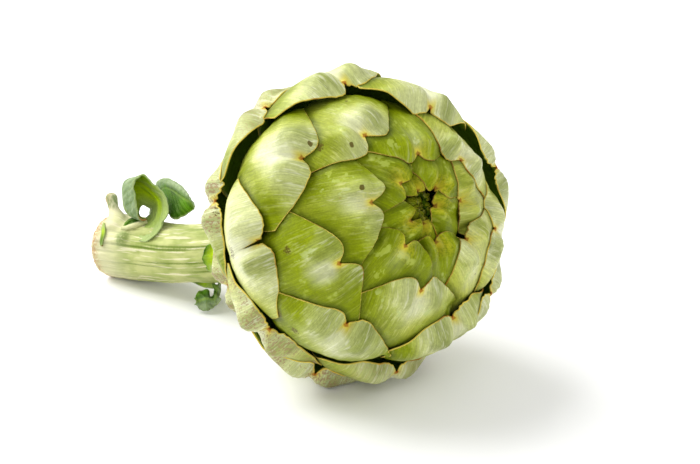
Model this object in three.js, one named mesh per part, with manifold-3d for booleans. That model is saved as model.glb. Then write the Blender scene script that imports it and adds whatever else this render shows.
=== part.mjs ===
// A globe artichoke lying on its side: a head of overlapping notched bracts on a cut stem with a few curled leaves.
// Millimetres, +Z up. The head's tip points towards +X and up, and the stem runs back towards -X to rest on z = 0.
import * as THREE from "three";
import { mergeVertices } from "three/addons/utils/BufferGeometryUtils.js";
import Module from "manifold-3d";

const wasm = await Module();
wasm.setup();

// ---------- driving dimensions ----------
const HEAD_CENTRE = new THREE.Vector3(45, 1, 57.5);
const HEAD_TILT = 28; // degrees that the head's axis rises towards the tip
const HEAD_RADIUS = 56; // at the widest, measured to the bracts' tips
const TIP_HEIGHT = 45; // from the head's centre to the tip
const BASE_HEIGHT = 48; // from the head's centre to the stem
const FULL_SIDE = 70; // degrees round the axis to the side where the head is fuller
const FULLNESS = 0.025; // share that the radius gains there and loses opposite
const ARC_RADIUS = 54; // turns a length along a bract into an angle round the head

const FIRST_BRACT = -2; // those below 1 fill the tip's eye
const LAST_BRACT = 46;
const GOLDEN_TURN = 137.6; // degrees from a bract to the next
const FIRST_TURN = 10.4;
const SPREAD_BRACTS = 31; // past this one the spacing towards the stem is even
const SPREAD_STEP = 3.3; // degrees
const FIRST_POLAR = 5.9; // degrees from the head's axis to the first bract's notch
const POLAR_STEP = 1.6; // degrees, and the power by which they grow from bract to bract
const POLAR_POWER = 1.205;
const BRACT_LEAN = 4; // degrees that a bract twists on the head
const LEAN_DRAW = 4; // degrees more or less
const BRACT_HALF_WIDTH = 27; // of a full-grown one
const BRACT_LENGTH = 56; // from root to notch, of a full-grown one
const YOUNG_LENGTH = 20; // of the first, with what each next one adds
const LENGTH_STEP = 4;
const YOUNG_SIZE = 0.35; // share of the full size at the tip's eye
const GROWING_BRACTS = 5;
const BASE_SHRINK = 0.35; // share that the last bract at the stem is smaller
const SHRINK_BRACT = 30; // from this one on
const BASE_POLAR = 172; // degrees from the head's axis where the last roots stop
const ROOT_WIDTH = 0.45; // share of the full width
const LOBE_DRAW = [0.8, 1.2]; // how long a lobe may grow
const BLADE = 1.6; // thickness of a loose bract's free edge
const BLADE_GROWTH = 0.12; // thicker by this for each mm behind the tip
const CLOSE_BLADE = 6; // thickness of one that lies on the core
const SHINGLE = 0.13; // how fast a bract dives below the ones outside it
const ROOT_DIVE = 4.5; // extra depth at the root
const EDGE_DIVE = 1.2; // extra depth at the side edges
const EYE_STEP = 1.2; // each bract in the eye is deeper by this
const STAND_LENGTH = 42; // behind this far from its tip a loose bract lies on the head
const CORE_DEPTH = 4.5; // the core's surface below the bracts' tips
const TIP_DIMPLE = 7; // extra depth of the core at the tip's eye
const CORE_STEPS = 14;
const CORE_SIDES = 28;

const STEM_RADIUS = 11.8;
const STEM_END_RADIUS = 13.4; // at the cut
const STEM_PATH = [
  [6, 1, 36.8],
  [-6, 1, 30.8],
  [-45.5, -18.5, 19],
  [-67, -26, 15],
  [-87, -33.3, 12.5],
];
const STEM_STEPS = 16;
const STEM_RIBS = 11;
const RIB_HEIGHT = 0.45;
const END_BEVEL = 1.8;

const STUB_PATH = [
  [-77, -33.5, 19],
  [-79.5, -33.5, 24],
  [-83.5, -33, 29.5],
  [-86, -32.5, 33],
];
const STUB_RADIUS = 5.8;
const STUB_TIP_RADIUS = 2.4;
const STUB_STEPS = 8;
const STUB_SIDES = 8;

const LEAF_THICKNESS = 1.1;
const LEAF_ORIGIN = new THREE.Vector3(-86, -33, 14);
const LEAF_TURN = 54; // degrees
const LEAF_RISE = 23;
// Stations of each leaf from its tip or its root, each from one edge to the other.
// Rolled into a ring that can be seen through, tip first.
const CURLED_LEAF = [
  [[14.5, 9.5, 19], [15.5, 8.5, 20.5], [16.5, 8.5, 21.5]],
  [[12.5, 11.5, 12], [8.5, 11.5, 14], [13, 10.5, 21]],
  [[12.5, 13.5, 11], [6.5, 16.5, 15], [12.5, 17, 22]],
  [[13, 14.5, 10], [7, 23.5, 14], [11.5, 23.5, 22]],
  [[14, 15, 10], [12.5, 24, 13], [15, 27, 21]],
  [[16, 14, 10], [18, 19.5, 14], [19, 24, 22]],
  [[17, 12.5, 11], [21.5, 15.5, 17], [25, 17, 24]],
  [[16.5, 10.5, 13], [21, 8.5, 20], [24.5, 8.5, 26]],
  [[13.5, 9, 14], [17.5, 4.5, 21], [17, 0, 25.5]],
  [[9.5, 6.5, 12], [8, 4.5, 14], [5, 4, 13]],
];
// Arches out behind the ring, root first.
const POINTED_LEAF = [
  [[16, 11.5, 5], [17.5, 11, 8], [19, 10.5, 10]],
  [[17, 18, 3], [19, 17.5, 5], [21, 14.5, 8]],
  [[19, 24.5, 4], [22, 23, 9], [23, 14.5, 13]],
  [[23.5, 26, 8], [26.5, 22.5, 15], [25.5, 11, 19]],
  [[29.5, 23, 15], [31.5, 19.5, 21], [28.5, 9, 24]],
  [[33, 19, 20], [34.5, 16.5, 24], [32.5, 10.5, 25]],
  [[36.5, 14, 25], [36.5, 14, 25], [36.5, 13, 25]],
];
// A small pointed one under the stem, root first.
const UNDER_LEAF = [
  [[45, -12.5, 26], [45, -15.5, 27], [44.5, -19, 27]],
  [[41.5, -13.5, 24], [41.5, -16, 26], [40.5, -18.5, 25]],
  [[38.5, -15, 23], [38, -16, 24.5], [38, -17.5, 24]],
  [[35.5, -16, 23], [35.5, -16, 23], [35.5, -16.5, 23]],
];
// A small crinkled one that hangs to the surface, root first.
const CRINKLED_LEAF = [
  [[47, -11, 24], [48, -12, 24], [48.5, -12.5, 24]],
  [[45.5, -18, 28], [46.5, -18.5, 29], [47.5, -19, 29]],
  [[44.5, -21.5, 31], [45.5, -23, 32.5], [47, -24.5, 32]],
  [[40.5, -19.5, 31], [42, -23.5, 34], [43.5, -27.5, 33]],
  [[38, -20.5, 31], [39, -24, 32.5], [40.5, -27.5, 32]],
  [[37.5, -23, 32], [38, -24, 32.5], [38.5, -24.5, 32]],
];

const PRESS = 0.8; // flattened off the bracts that the head rests on
const GAP = 0.3; // between pieces that touch

const rad = THREE.MathUtils.degToRad;
const smooth = THREE.MathUtils.smoothstep;

// ---------- helpers ----------
// Seeded draw, one stream for the whole part.
let seed = 7;
function draw(low, high) {
  seed = (seed * 1664525 + 1013904223) % 4294967296;
  return low + ((high - low) * seed) / 4294967296;
}

function solidOf(geometry) {
  const bare = geometry.clone();
  bare.deleteAttribute("normal");
  bare.deleteAttribute("uv");
  const merged = mergeVertices(bare, 1e-3);
  const mesh = new wasm.Mesh({
    numProp: 3,
    vertProperties: merged.attributes.position.array,
    triVerts: new Uint32Array(merged.index.array),
  });
  return new wasm.Manifold(mesh);
}

function geometryOf(solid) {
  const mesh = solid.getMesh();
  const geometry = new THREE.BufferGeometry();
  geometry.setAttribute("position", new THREE.BufferAttribute(mesh.vertProperties, 3));
  geometry.setIndex(new THREE.BufferAttribute(mesh.triVerts, 1));
  geometry.computeVertexNormals();
  return geometry;
}

// The main body of a solid, without loose scraps and sealed hollows.
function onePiece(solid) {
  const bodies = solid.decompose();
  return bodies.reduce((best, body) => (body.volume() > best.volume() ? body : best));
}

// A closed slab between an upper and a lower grid of points, triangulated alike on both faces.
function slab(upper, lower) {
  const rows = upper.length;
  const columns = upper[0].length;
  const positions = [...upper.flat(), ...lower.flat()].flatMap((p) => [p.x, p.y, p.z]);
  const index = [];
  const at = (side, row, column) => (side * rows + row) * columns + column;
  const quad = (a, b, c, d) => index.push(a, b, c, a, c, d);
  for (let r = 0; r < rows - 1; r++) {
    for (let c = 0; c < columns - 1; c++) {
      quad(at(0, r, c), at(0, r, c + 1), at(0, r + 1, c + 1), at(0, r + 1, c));
      index.push(at(1, r, c), at(1, r + 1, c + 1), at(1, r, c + 1));
      index.push(at(1, r, c), at(1, r + 1, c), at(1, r + 1, c + 1));
    }
    const last = columns - 1;
    quad(at(0, r, 0), at(0, r + 1, 0), at(1, r + 1, 0), at(1, r, 0));
    quad(at(0, r + 1, last), at(0, r, last), at(1, r, last), at(1, r + 1, last));
  }
  const last = rows - 1;
  for (let c = 0; c < columns - 1; c++) {
    quad(at(0, 0, c + 1), at(0, 0, c), at(1, 0, c), at(1, 0, c + 1));
    quad(at(0, last, c), at(0, last, c + 1), at(1, last, c + 1), at(1, last, c));
  }
  const geometry = new THREE.BufferGeometry();
  geometry.setAttribute("position", new THREE.Float32BufferAttribute(positions, 3));
  geometry.setIndex(index);
  return geometry;
}

// ---------- head ----------
// The head's own frame: z is its axis towards the tip, x points up.
function envelope(direction) {
  const height = direction.z > 0 ? TIP_HEIGHT : BASE_HEIGHT;
  const full = new THREE.Vector3(Math.cos(rad(FULL_SIDE)), Math.sin(rad(FULL_SIDE)), 0);
  const radius = 1 / Math.hypot(Math.hypot(direction.x, direction.y) / HEAD_RADIUS, direction.z / height);
  return radius * (1 + FULLNESS * full.dot(direction));
}

// How far the surface that the head rests on lies in a direction, with a little to press flat.
function groundDistance(direction) {
  const down = -Math.cos(rad(HEAD_TILT)) * direction.x - Math.sin(rad(HEAD_TILT)) * direction.z;
  return down > 0 ? HEAD_CENTRE.z / down + PRESS : Infinity;
}

// Angle from the tip's axis to the notch of a bract.
function notchPolar(n) {
  const inner = Math.min(0, n);
  const past = Math.max(0, n - SPREAD_BRACTS);
  const spiral = POLAR_STEP * (n - inner - past) ** POLAR_POWER;
  return rad(FIRST_POLAR + spiral + inner + SPREAD_STEP * past);
}

// How far a bract's tip stands off the head. Those left out lie close, or loosely past the last one here.
const TIP_LIFT = {
  14: 1,
  16: 3,
  17: 1,
  19: 3,
  21: 2.5,
  22: 1.5,
  24: 2.5,
  25: 5.5,
  26: 3.5,
  28: 2,
  30: 7,
  33: 7,
  38: 7,
};
const LOOSE_LIFT = 4.5;
const LAST_CLOSE = 28;
function tipLift(n) {
  if (n in TIP_LIFT) return TIP_LIFT[n];
  return n > LAST_CLOSE ? LOOSE_LIFT : 0;
}

// Where a bract grew off the even spiral: sideways and towards the tip, in mm.
const SHIFT = {
  3: [0, 2.5],
  4: [-1, -2.5],
  8: [1.5, 2],
  9: [5, 1],
  10: [0, 3],
  11: [2, 3.5],
  12: [0, 1],
  13: [2, 0],
  14: [1, -1.5],
  17: [0, -2.5],
  18: [-2, -1],
  19: [2, 0],
  20: [-4, 1.5],
  21: [3.5, 0],
  22: [-1, 2],
  25: [3, -3],
  26: [-5, -4],
  28: [0, 5],
};

// Half of a bract's outline as [share of its half width, distance ahead of the notch]:
// the notch, a round lobe, and a long shoulder.
const TIP_LINE = [
  [0, 0],
  [0.12, 4],
  [0.29, 4.8],
  [0.62, -0.6],
  [1, -10],
];
const ROWS = [0, 0.5, 0.83, 1]; // from root to tip

function bractFrame(n) {
  const polar = notchPolar(n);
  const turn = rad(FIRST_TURN - GOLDEN_TURN * n);
  const lean = rad(BRACT_LEAN + draw(-LEAN_DRAW, LEAN_DRAW));
  const round = new THREE.Vector3(Math.cos(turn), Math.sin(turn), 0);
  const notch = round.clone().multiplyScalar(Math.sin(polar));
  notch.z = Math.cos(polar);
  const side = new THREE.Vector3(-round.y, round.x, 0);
  const ahead = new THREE.Vector3().crossVectors(notch, side);
  const [sideways, forward] = SHIFT[n] ?? [0, 0];
  notch.addScaledVector(side, sideways / ARC_RADIUS).addScaledVector(ahead, forward / ARC_RADIUS).normalize();
  const across = side.clone().multiplyScalar(Math.cos(lean)).addScaledVector(ahead, Math.sin(lean));
  across.addScaledVector(notch, -across.dot(notch)).normalize();
  const along = new THREE.Vector3().crossVectors(notch, across);
  return { polar, notch, across, along };
}

// Direction from the head's centre to a place on a bract, given in mm across and ahead of its notch.
function bractDirection(frame, across, ahead) {
  const forward = ahead / ARC_RADIUS;
  const sideways = across / ARC_RADIUS;
  return frame.notch
    .clone()
    .multiplyScalar(Math.cos(forward))
    .addScaledVector(frame.along, Math.sin(forward))
    .multiplyScalar(Math.cos(sideways))
    .addScaledVector(frame.across, Math.sin(sideways));
}

function bract(n) {
  const frame = bractFrame(n);
  const young = 1 - (1 - YOUNG_SIZE) * Math.exp(-Math.max(n, 0) / GROWING_BRACTS);
  const size = young * (1 - BASE_SHRINK * smooth(n, SHRINK_BRACT, LAST_BRACT));
  const halfWidth = BRACT_HALF_WIDTH * size;
  const room = ARC_RADIUS * (rad(BASE_POLAR) - frame.polar);
  const length = Math.min(BRACT_LENGTH, YOUNG_LENGTH + LENGTH_STEP * n, room);
  const lift = tipLift(n);
  const eye = EYE_STEP * Math.max(0, 1 - n);
  const lobes = [draw(...LOBE_DRAW), draw(...LOBE_DRAW)];
  const upper = [];
  const lower = [];
  for (const s of ROWS) {
    const top = [];
    const under = [];
    const width = halfWidth * (ROOT_WIDTH + (1 - ROOT_WIDTH) * Math.sin((s * Math.PI) / 2) ** 0.8);
    for (let c = 1 - TIP_LINE.length; c < TIP_LINE.length; c++) {
      const [share, reach] = TIP_LINE[Math.abs(c)];
      const lobe = reach > 0 ? lobes[c > 0 ? 0 : 1] : 1;
      const ahead = -length * (1 - s) + reach * size * lobe * s ** 1.5;
      const direction = bractDirection(frame, Math.sign(c) * share * width, ahead);
      const behind = Math.max(0, -ahead);
      const standing = lift * Math.max(0, 1 - behind / STAND_LENGTH) ** 1.3;
      const dive = ROOT_DIVE * (1 - s) ** 3 + EDGE_DIVE * share ** 3 + smooth(s, 0.8, 1);
      const sunk = SHINGLE * behind + dive + eye;
      const out = Math.min(envelope(direction) + standing - sunk, groundDistance(direction));
      const thick = lift > 1 ? BLADE + BLADE_GROWTH * behind : CLOSE_BLADE;
      top.push(direction.clone().multiplyScalar(out));
      under.push(direction.clone().multiplyScalar(out - thick));
    }
    upper.push(top);
    lower.push(under);
  }
  return solidOf(slab(upper, lower));
}

// What the bracts grow from, with a dimple under the tip's eye.
function core() {
  const profile = [];
  for (let i = 0; i <= CORE_STEPS; i++) {
    const polar = Math.PI * (1 - i / CORE_STEPS);
    const direction = new THREE.Vector3(0, Math.sin(polar), Math.cos(polar));
    const dimple = TIP_DIMPLE * (1 - smooth(polar, 0.05, 0.3));
    const out = envelope(direction) * (1 - FULLNESS) - CORE_DEPTH - dimple;
    profile.push(new THREE.Vector2(out * Math.sin(polar), out * Math.cos(polar)));
  }
  profile[0].x = 0;
  profile[CORE_STEPS].x = 0;
  return solidOf(new THREE.LatheGeometry(profile, CORE_SIDES).rotateX(Math.PI / 2));
}

function headMatrix() {
  const axis = new THREE.Vector3(Math.cos(rad(HEAD_TILT)), 0, Math.sin(rad(HEAD_TILT)));
  const up = new THREE.Vector3(-Math.sin(rad(HEAD_TILT)), 0, Math.cos(rad(HEAD_TILT)));
  const matrix = new THREE.Matrix4().makeBasis(up, new THREE.Vector3().crossVectors(axis, up), axis);
  return matrix.setPosition(HEAD_CENTRE);
}

// All that lies below the surface that the artichoke rests on.
function ground() {
  return solidOf(new THREE.BoxGeometry(500, 500, 100).translate(0, 0, -50));
}

function headSolid() {
  const solids = [core()];
  for (let n = FIRST_BRACT; n <= LAST_BRACT; n++) solids.push(bract(n));
  const grown = wasm.Manifold.union(solids).transform(headMatrix().elements);
  return onePiece(grown.subtract(stemSolid(GAP)).subtract(ground()));
}

// ---------- stem ----------
// A closed body through rings of points, its two ends closed by fans.
function loft(rings) {
  const sides = rings[0].length;
  const centre = (ring) => ring.reduce((sum, p) => sum.add(p), new THREE.Vector3()).divideScalar(sides);
  const points = [...rings.flat(), centre(rings[0]), centre(rings.at(-1))];
  const first = rings.length * sides;
  const index = [];
  for (let k = 0; k < sides; k++) {
    const next = (k + 1) % sides;
    for (let r = 0; r < rings.length - 1; r++) {
      const [a, b, c, d] = [r * sides + k, r * sides + next, (r + 1) * sides + next, (r + 1) * sides + k];
      index.push(a, b, c, a, c, d);
    }
    const last = (rings.length - 1) * sides;
    index.push(first, next, k, first + 1, last + k, last + next);
  }
  const geometry = new THREE.BufferGeometry();
  const positions = points.flatMap((p) => [p.x, p.y, p.z]);
  geometry.setAttribute("position", new THREE.Float32BufferAttribute(positions, 3));
  geometry.setIndex(index);
  return geometry;
}

// Rings round a curve: steps along it, corners in each, and a radius by share of the length and by corner.
function ringsAlong(curve, steps, corners, radiusAt) {
  const rings = [];
  for (let i = 0; i <= steps; i++) {
    const t = i / steps;
    const along = curve.getTangentAt(t);
    const side = new THREE.Vector3(0, 0, 1).cross(along).normalize();
    const up = new THREE.Vector3().crossVectors(along, side);
    const ring = [];
    for (let k = 0; k < corners; k++) {
      const angle = (2 * Math.PI * k) / corners;
      const out = radiusAt(t, k);
      const point = curve.getPointAt(t).addScaledVector(side, out * Math.cos(angle));
      ring.push(point.addScaledVector(up, out * Math.sin(angle)));
    }
    rings.push(ring);
  }
  return rings;
}

// The ribbed stem with the stub of a cut leaf near its end, all thickened by extra.
function stemSolid(extra) {
  const curve = new THREE.CatmullRomCurve3(STEM_PATH.map((p) => new THREE.Vector3(...p)));
  const radiusAt = (t, k) => {
    const radius = THREE.MathUtils.lerp(STEM_RADIUS, STEM_END_RADIUS, smooth(t, 0.6, 0.95));
    const bevel = END_BEVEL * smooth(t, 0.96, 1);
    return radius - bevel + (k % 2 ? -RIB_HEIGHT : RIB_HEIGHT) + extra;
  };
  const rings = ringsAlong(curve, STEM_STEPS, 2 * STEM_RIBS, radiusAt);
  rings[0].forEach((p) => p.addScaledVector(curve.getTangentAt(0), -extra));
  const stubCurve = new THREE.CatmullRomCurve3(STUB_PATH.map((p) => new THREE.Vector3(...p)));
  const stubRadius = (t) => THREE.MathUtils.lerp(STUB_RADIUS, STUB_TIP_RADIUS, smooth(t, 0.25, 0.75)) + extra;
  const stub = solidOf(loft(ringsAlong(stubCurve, STUB_STEPS, STUB_SIDES, stubRadius)));
  return solidOf(loft(rings)).add(stub);
}

// ---------- leaves ----------
// Leaves are laid out in a frame at the stem's cut end: x to the right, y up, z out to the side of the stem.
function leafPoint([x, y, z]) {
  const place = new THREE.Vector3(x, y, z).applyAxisAngle(new THREE.Vector3(1, 0, 0), rad(90 - LEAF_RISE));
  return place.applyAxisAngle(new THREE.Vector3(0, 0, 1), rad(LEAF_TURN)).add(LEAF_ORIGIN);
}

// A leaf's surface through its stations, each a few points from one edge to the other.
function leafSurface(stations, rows, columns) {
  const nets = stations.map((points) => new THREE.CatmullRomCurve3(points.map(leafPoint)));
  const grid = [];
  for (let r = 0; r <= rows; r++) grid.push([]);
  for (let c = 0; c <= columns; c++) {
    const lengthwise = new THREE.CatmullRomCurve3(nets.map((net) => net.getPoint(c / columns)));
    for (let r = 0; r <= rows; r++) grid[r].push(lengthwise.getPoint(r / rows));
  }
  return grid;
}

function leafSolid(stations, rows, columns) {
  const grid = leafSurface(stations, rows, columns);
  const clamp = THREE.MathUtils.clamp;
  const faces = [LEAF_THICKNESS / 2, -LEAF_THICKNESS / 2].map((offset) =>
    grid.map((line, r) =>
      line.map((point, c) => {
        const before = grid[clamp(r - 1, 0, rows)][c];
        const after = grid[clamp(r + 1, 0, rows)][c];
        const left = line[clamp(c - 1, 0, columns)];
        const right = line[clamp(c + 1, 0, columns)];
        const normal = right.clone().sub(left).cross(after.clone().sub(before)).normalize();
        return point.clone().addScaledVector(normal, offset);
      }),
    ),
  );
  return onePiece(solidOf(slab(...faces)).subtract(stemSolid(GAP)).subtract(ground()));
}

// ---------- the artichoke ----------
const FINISHES = {
  head: { color: 0xa3b862, roughness: 0.5, metalness: 0 },
  stem: { color: 0xc3cc82, roughness: 0.55, metalness: 0 },
  leaf: { color: 0x5f8a35, roughness: 0.6, metalness: 0 },
};

const group = new THREE.Group();
function addPiece(name, solid, finish) {
  const mesh = new THREE.Mesh(geometryOf(solid), new THREE.MeshStandardMaterial(FINISHES[finish]));
  mesh.name = name;
  group.add(mesh);
}

addPiece("head", headSolid(), "head");
addPiece("stem", stemSolid(0).subtract(ground()), "stem");
addPiece("leaf_curled", leafSolid(CURLED_LEAF, 22, 6), "leaf");
addPiece("leaf_pointed", leafSolid(POINTED_LEAF, 12, 4), "leaf");
addPiece("leaf_under", leafSolid(UNDER_LEAF, 5, 4), "leaf");
addPiece("leaf_crinkled", leafSolid(CRINKLED_LEAF, 10, 4), "leaf");

export default group;
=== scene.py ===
from math import cos, exp, pi, radians, sin
import bpy
import numpy as np
from mathutils import Matrix, Vector, noise
from mathutils.bvhtree import BVHTree
from mathutils.kdtree import KDTree


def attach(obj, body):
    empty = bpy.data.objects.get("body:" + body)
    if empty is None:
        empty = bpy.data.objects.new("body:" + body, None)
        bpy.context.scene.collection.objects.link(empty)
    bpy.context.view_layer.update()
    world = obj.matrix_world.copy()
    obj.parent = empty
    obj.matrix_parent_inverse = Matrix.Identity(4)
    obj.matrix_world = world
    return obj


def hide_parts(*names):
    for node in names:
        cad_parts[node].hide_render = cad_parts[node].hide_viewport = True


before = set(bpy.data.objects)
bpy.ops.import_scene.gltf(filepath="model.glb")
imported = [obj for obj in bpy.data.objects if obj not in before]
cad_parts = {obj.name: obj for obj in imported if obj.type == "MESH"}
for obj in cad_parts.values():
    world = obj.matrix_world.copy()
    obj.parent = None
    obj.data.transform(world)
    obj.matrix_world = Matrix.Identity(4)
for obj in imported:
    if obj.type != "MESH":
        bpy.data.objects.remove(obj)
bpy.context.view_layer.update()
mm = 0.001  # all lengths below are in millimetres, and meshes are made in metres

headParams = {
    "centre": (45, 1, 57.5),
    "tilt": 28,  # degrees that the axis rises towards the tip
    "radius": 55,
    "tipHeight": 45,
    "baseHeight": 48,
    "fullSide": 70,  # degrees round the axis to the fuller side
    "fullness": 0.025,
    "arcRadius": 54,
    "firstBract": -2,
    "hiddenBract": -2,  # laid out but not grown, so that the eye stays open
    "lastBract": 46,
    "goldenTurn": 137.6,
    "firstTurn": 10.4,
    "firstPolar": 5.9,  # degrees from the axis to the first notch
    "polarStep": 1.6,
    "polarPower": 1.205,
    "lastPolar": 172,
    "spreadBracts": 31,  # from this one on the notches lie an even step apart
    "spreadStep": 3.3,
    "lean": 4,
    "leanSpread": 4,
    "halfWidth": 27,
    "footWidth": 0.45,  # a bract's width at its foot, as a share
    "length": 56,
    "firstLength": 20,
    "lengthStep": 4,
    "youngSize": 0.35,
    "sizeGrowth": 5,  # bracts over which the size grows
    "oldShrink": 0.35,
    "crackWidth": 0.6,
    "shingle": 0.13,
    "footSink": 4.5,
    "marginSink": 1.2,
    "eyeSink": 1.2,
    "rows": 50,
    "halfColumns": 26,
    "edgeThickness": 0.45,
    "thickness": 1.9,
    "edgeFade": 2.2,  # how far in from its margin a bract reaches its thickness
    "rimBulge": 0.22,
    "lobeSwell": 2.7,
    "lobePlace": (6.5, -2.5),  # across and ahead of the notch
    "lobeSpan": (4.2, 6),
    "creaseDepth": 2.5,
    "creaseWidths": (1.5, 3.2),  # of its sharp and its soft part
    "creaseLengths": (6, 12),
    "knotHeight": 1.3,
    "knotSpan": (1.1, 1.2),
    "youngRelief": 0.7,
    "wrinkles": 0.42,
    "wrinklePitch": 2.9,
    "waves": 0.75,
    "restLift": 1.6,  # of a tip that lies close
    "tipSlack": 0.35,
    "curlStart": 4,  # behind the notch
    "curlLength": 8.5,
    "curlDepth": 3,
    "raggedness": 0.5,
    "oldRaggedness": 0.75,
    "coreRadius": 20,
    "gap": 0.06,  # between a bract and what lies below it
    "groundGap": 0.05,
    "bractsBelow": 22,  # how many of the last ones a bract is laid on
    "bractsAbove": 23,
    "relaxRounds": 45,
    "relaxEven": 0.6,  # share of the way to its neighbours' mean that a point moves each round
    "relaxBack": 0.06,  # share of the way back to the height that was wanted
    "relaxPress": 0.5,  # share of the way down, where a margin hugs the head
}

# how far a bract stands off the head behind its tip
tipLift = {
    14: 1, 16: 3.6, 17: 1.5, 19: 4, 21: 3.6, 22: 2, 24: 2, 25: 2.4, 26: 3.2, 27: 1.5, 28: 1.5, 29: 2,
    30: 5.5, 31: 2.8, 33: 6.5, 34: 2, 36: 4, 38: 6.5, 39: 2,
}
looseLift = 2.5  # of the other bracts after looseFrom
looseFrom = 28
flatLobes = {  # those that swell less
    14: 0.4, 16: 0.6, 19: 0.35, 21: 0.8, 22: 0.35, 24: 0.5, 25: 0.4, 26: 0.6, 27: 0.4, 29: 0.3, 30: 0.6,
    31: 0.7, 33: 0.5, 34: 0.4, 36: 0.7, 37: 0.4,
}
# those whose lobes curl in less
stiffTips = {19: 0.45, 21: 0.7, 22: 0.6, 24: 0.6, 26: 0.75, 30: 0.7, 31: 0.85}

# where a bract grew off the even spiral: sideways and towards the tip
shift = {
    -1: (0, -3.5), 0: (1.9, -2.3), 1: (0.9, 4.2), 2: (3.1, -2.2), 3: (0, 2.5), 4: (-1, -2.5), 8: (1.5, 2),
    9: (5, 1), 10: (0, 3), 11: (2, 3.5), 12: (0, 1), 13: (2, 0), 14: (1, -1.5), 17: (0, -2.5), 18: (-2, -1),
    19: (2, 0), 20: (-4, 1.5), 21: (3.5, 0), 22: (-1, 2), 25: (3, -3), 26: (-5, -4), 28: (1.7, -1.2),
    33: (0, 6), 36: (2.5, 0),
}

cracks = {23: 8}  # how far a notch has split back

# bracts paler or greener than their age gives
paleMore = {
    3: 0.3, 5: 0.3, 6: 1.5, 8: 0.2, 9: 1.3, 10: 0.35, 11: 0.8, 12: 0.5, 13: 0.4, 14: 1, 15: -0.4, 16: 0.4,
    17: 0.1, 18: 0.05, 19: 0.3, 20: -0.28, 23: 0.3, 28: 0.3, 36: 0.3,
}

# half of a bract's outline: share of its half width, distance ahead of the notch
tipLine = [
    (0, 0), (0.045, 1.5), (0.11, 3.7), (0.19, 5.0), (0.28, 4.9),
    (0.42, 2.9), (0.6, -0.4), (0.8, -4.8), (1, -10),
]

seed = 7  # of the random draws, whose order fixes the shapes
seedRange = 2**32


def draw(low, high):
    global seed
    seed = (seed * 1664525 + 1013904223) % seedRange
    return low + (high - low) * seed / seedRange


def unit(vectors):
    return vectors / np.maximum(np.linalg.norm(vectors, axis=-1, keepdims=True), 1e-9)


# smooth step from 0 at low to 1 at high, or down where low is above high
def ease(x, low, high):
    t = np.clip((x - low) / (high - low), 0, 1)
    return t * t * (3 - 2 * t)


# smooth curve through evenly spaced points, t from 0 to 1
def catmull(points, t):
    p = np.asarray(points, float)
    p = np.concatenate([[2 * p[0] - p[1]], p, [2 * p[-1] - p[-2]]])
    x = np.clip(np.asarray(t, float), 0, 1) * (len(p) - 3)
    i = np.minimum(x.astype(int), len(p) - 4)
    f = (x - i).reshape(x.shape + (1,) * (p.ndim - 1))
    a, b, c, d = p[i], p[i + 1], p[i + 2], p[i + 3]
    return 0.5 * (2 * b + (c - a) * f + (2 * a - 5 * b + 4 * c - d) * f**2 + (3 * b - a - 3 * c + d) * f**3)


# points at even distances along a curve, the directions there and its length
def sweep(path, steps):
    fine = catmull(path, np.linspace(0, 1, 600))
    walked = np.concatenate([[0], np.cumsum(np.linalg.norm(np.diff(fine, axis=0), axis=1))])
    even = np.linspace(0, walked[-1], steps + 1)
    points = np.stack([np.interp(even, walked, fine[:, k]) for k in range(3)], 1)
    return points, unit(np.gradient(points, axis=0)), walked[-1]


# directions to the side of a path and upwards from it
def sideAndUp(along):
    side = unit(np.cross((0, 0, 1), along))
    return side, np.cross(along, side)


def nearestOf(points):
    tree = KDTree(len(points))
    for k, point in enumerate(points):
        tree.insert(point, k)
    tree.balance()
    return tree


def noiseAt(points, scale):
    flat = points.reshape(-1, 3) * scale
    return np.array([noise.noise(Vector(p)) for p in flat]).reshape(points.shape[:-1])


def gridFaces(rows, columns, start=0, flip=False):
    index = start + np.arange(rows * columns).reshape(rows, columns)
    quads = np.stack([index[:-1, :-1], index[:-1, 1:], index[1:, 1:], index[1:, :-1]], -1).reshape(-1, 4)
    return quads[:, ::-1] if flip else quads


def borderOf(rows, columns):
    index = np.arange(rows * columns).reshape(rows, columns)
    return np.concatenate([index[0], index[1:, -1], index[-1, -2::-1], index[-2:0:-1, 0]])


def makeMesh(name, vertices, faces, attributes, material):
    mesh = bpy.data.meshes.new(name)
    mesh.from_pydata((vertices * mm).tolist(), [], faces if isinstance(faces, list) else faces.tolist())
    for key, values in attributes.items():
        kind = "FLOAT_VECTOR" if values.ndim == 2 else "FLOAT"
        layer = mesh.attributes.new(key, kind, "POINT")
        layer.data.foreach_set("vector" if values.ndim == 2 else "value", values.astype(np.float32).ravel())
    mesh.polygons.foreach_set("use_smooth", [True] * len(mesh.polygons))
    if material:
        mesh.materials.append(material)
    piece = bpy.data.objects.new(name, mesh)
    bpy.context.scene.collection.objects.link(piece)
    return piece


def standFor(piece, node):
    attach(piece, "root")
    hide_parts(node)
    print(piece.name, len(piece.data.polygons), "faces")


# a closed blade between two grids, with a rounded rim
def bladeMesh(outer, inner, rim):
    rows, columns = outer.shape[:2]
    count = rows * columns
    border = borderOf(rows, columns)
    inside = np.clip(np.stack([border // columns, border % columns], 1), 1, [rows - 2, columns - 2])
    out = outer.reshape(-1, 3)
    edge = (out[border] + inner.reshape(-1, 3)[border]) / 2
    middle = edge + unit(edge - outer[inside[:, 0], inside[:, 1]]) * rim
    vertices = np.concatenate([out, inner.reshape(-1, 3), middle])
    faces = [gridFaces(rows, columns), gridFaces(rows, columns, count, True)]
    ring = 2 * count + np.arange(len(border))
    nextRing = np.roll(ring, -1)
    nextBorder = np.roll(border, -1)
    faces.append(np.stack([border, ring, nextRing, nextBorder], 1))
    faces.append(np.stack([ring, border + count, nextBorder + count, nextRing], 1))
    return vertices, np.concatenate(faces), border


# a grid's values on a blade's two sides and its rim
def onBlade(values, border):
    flat = np.ravel(values)
    return np.concatenate([flat, flat, flat[border]])


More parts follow.
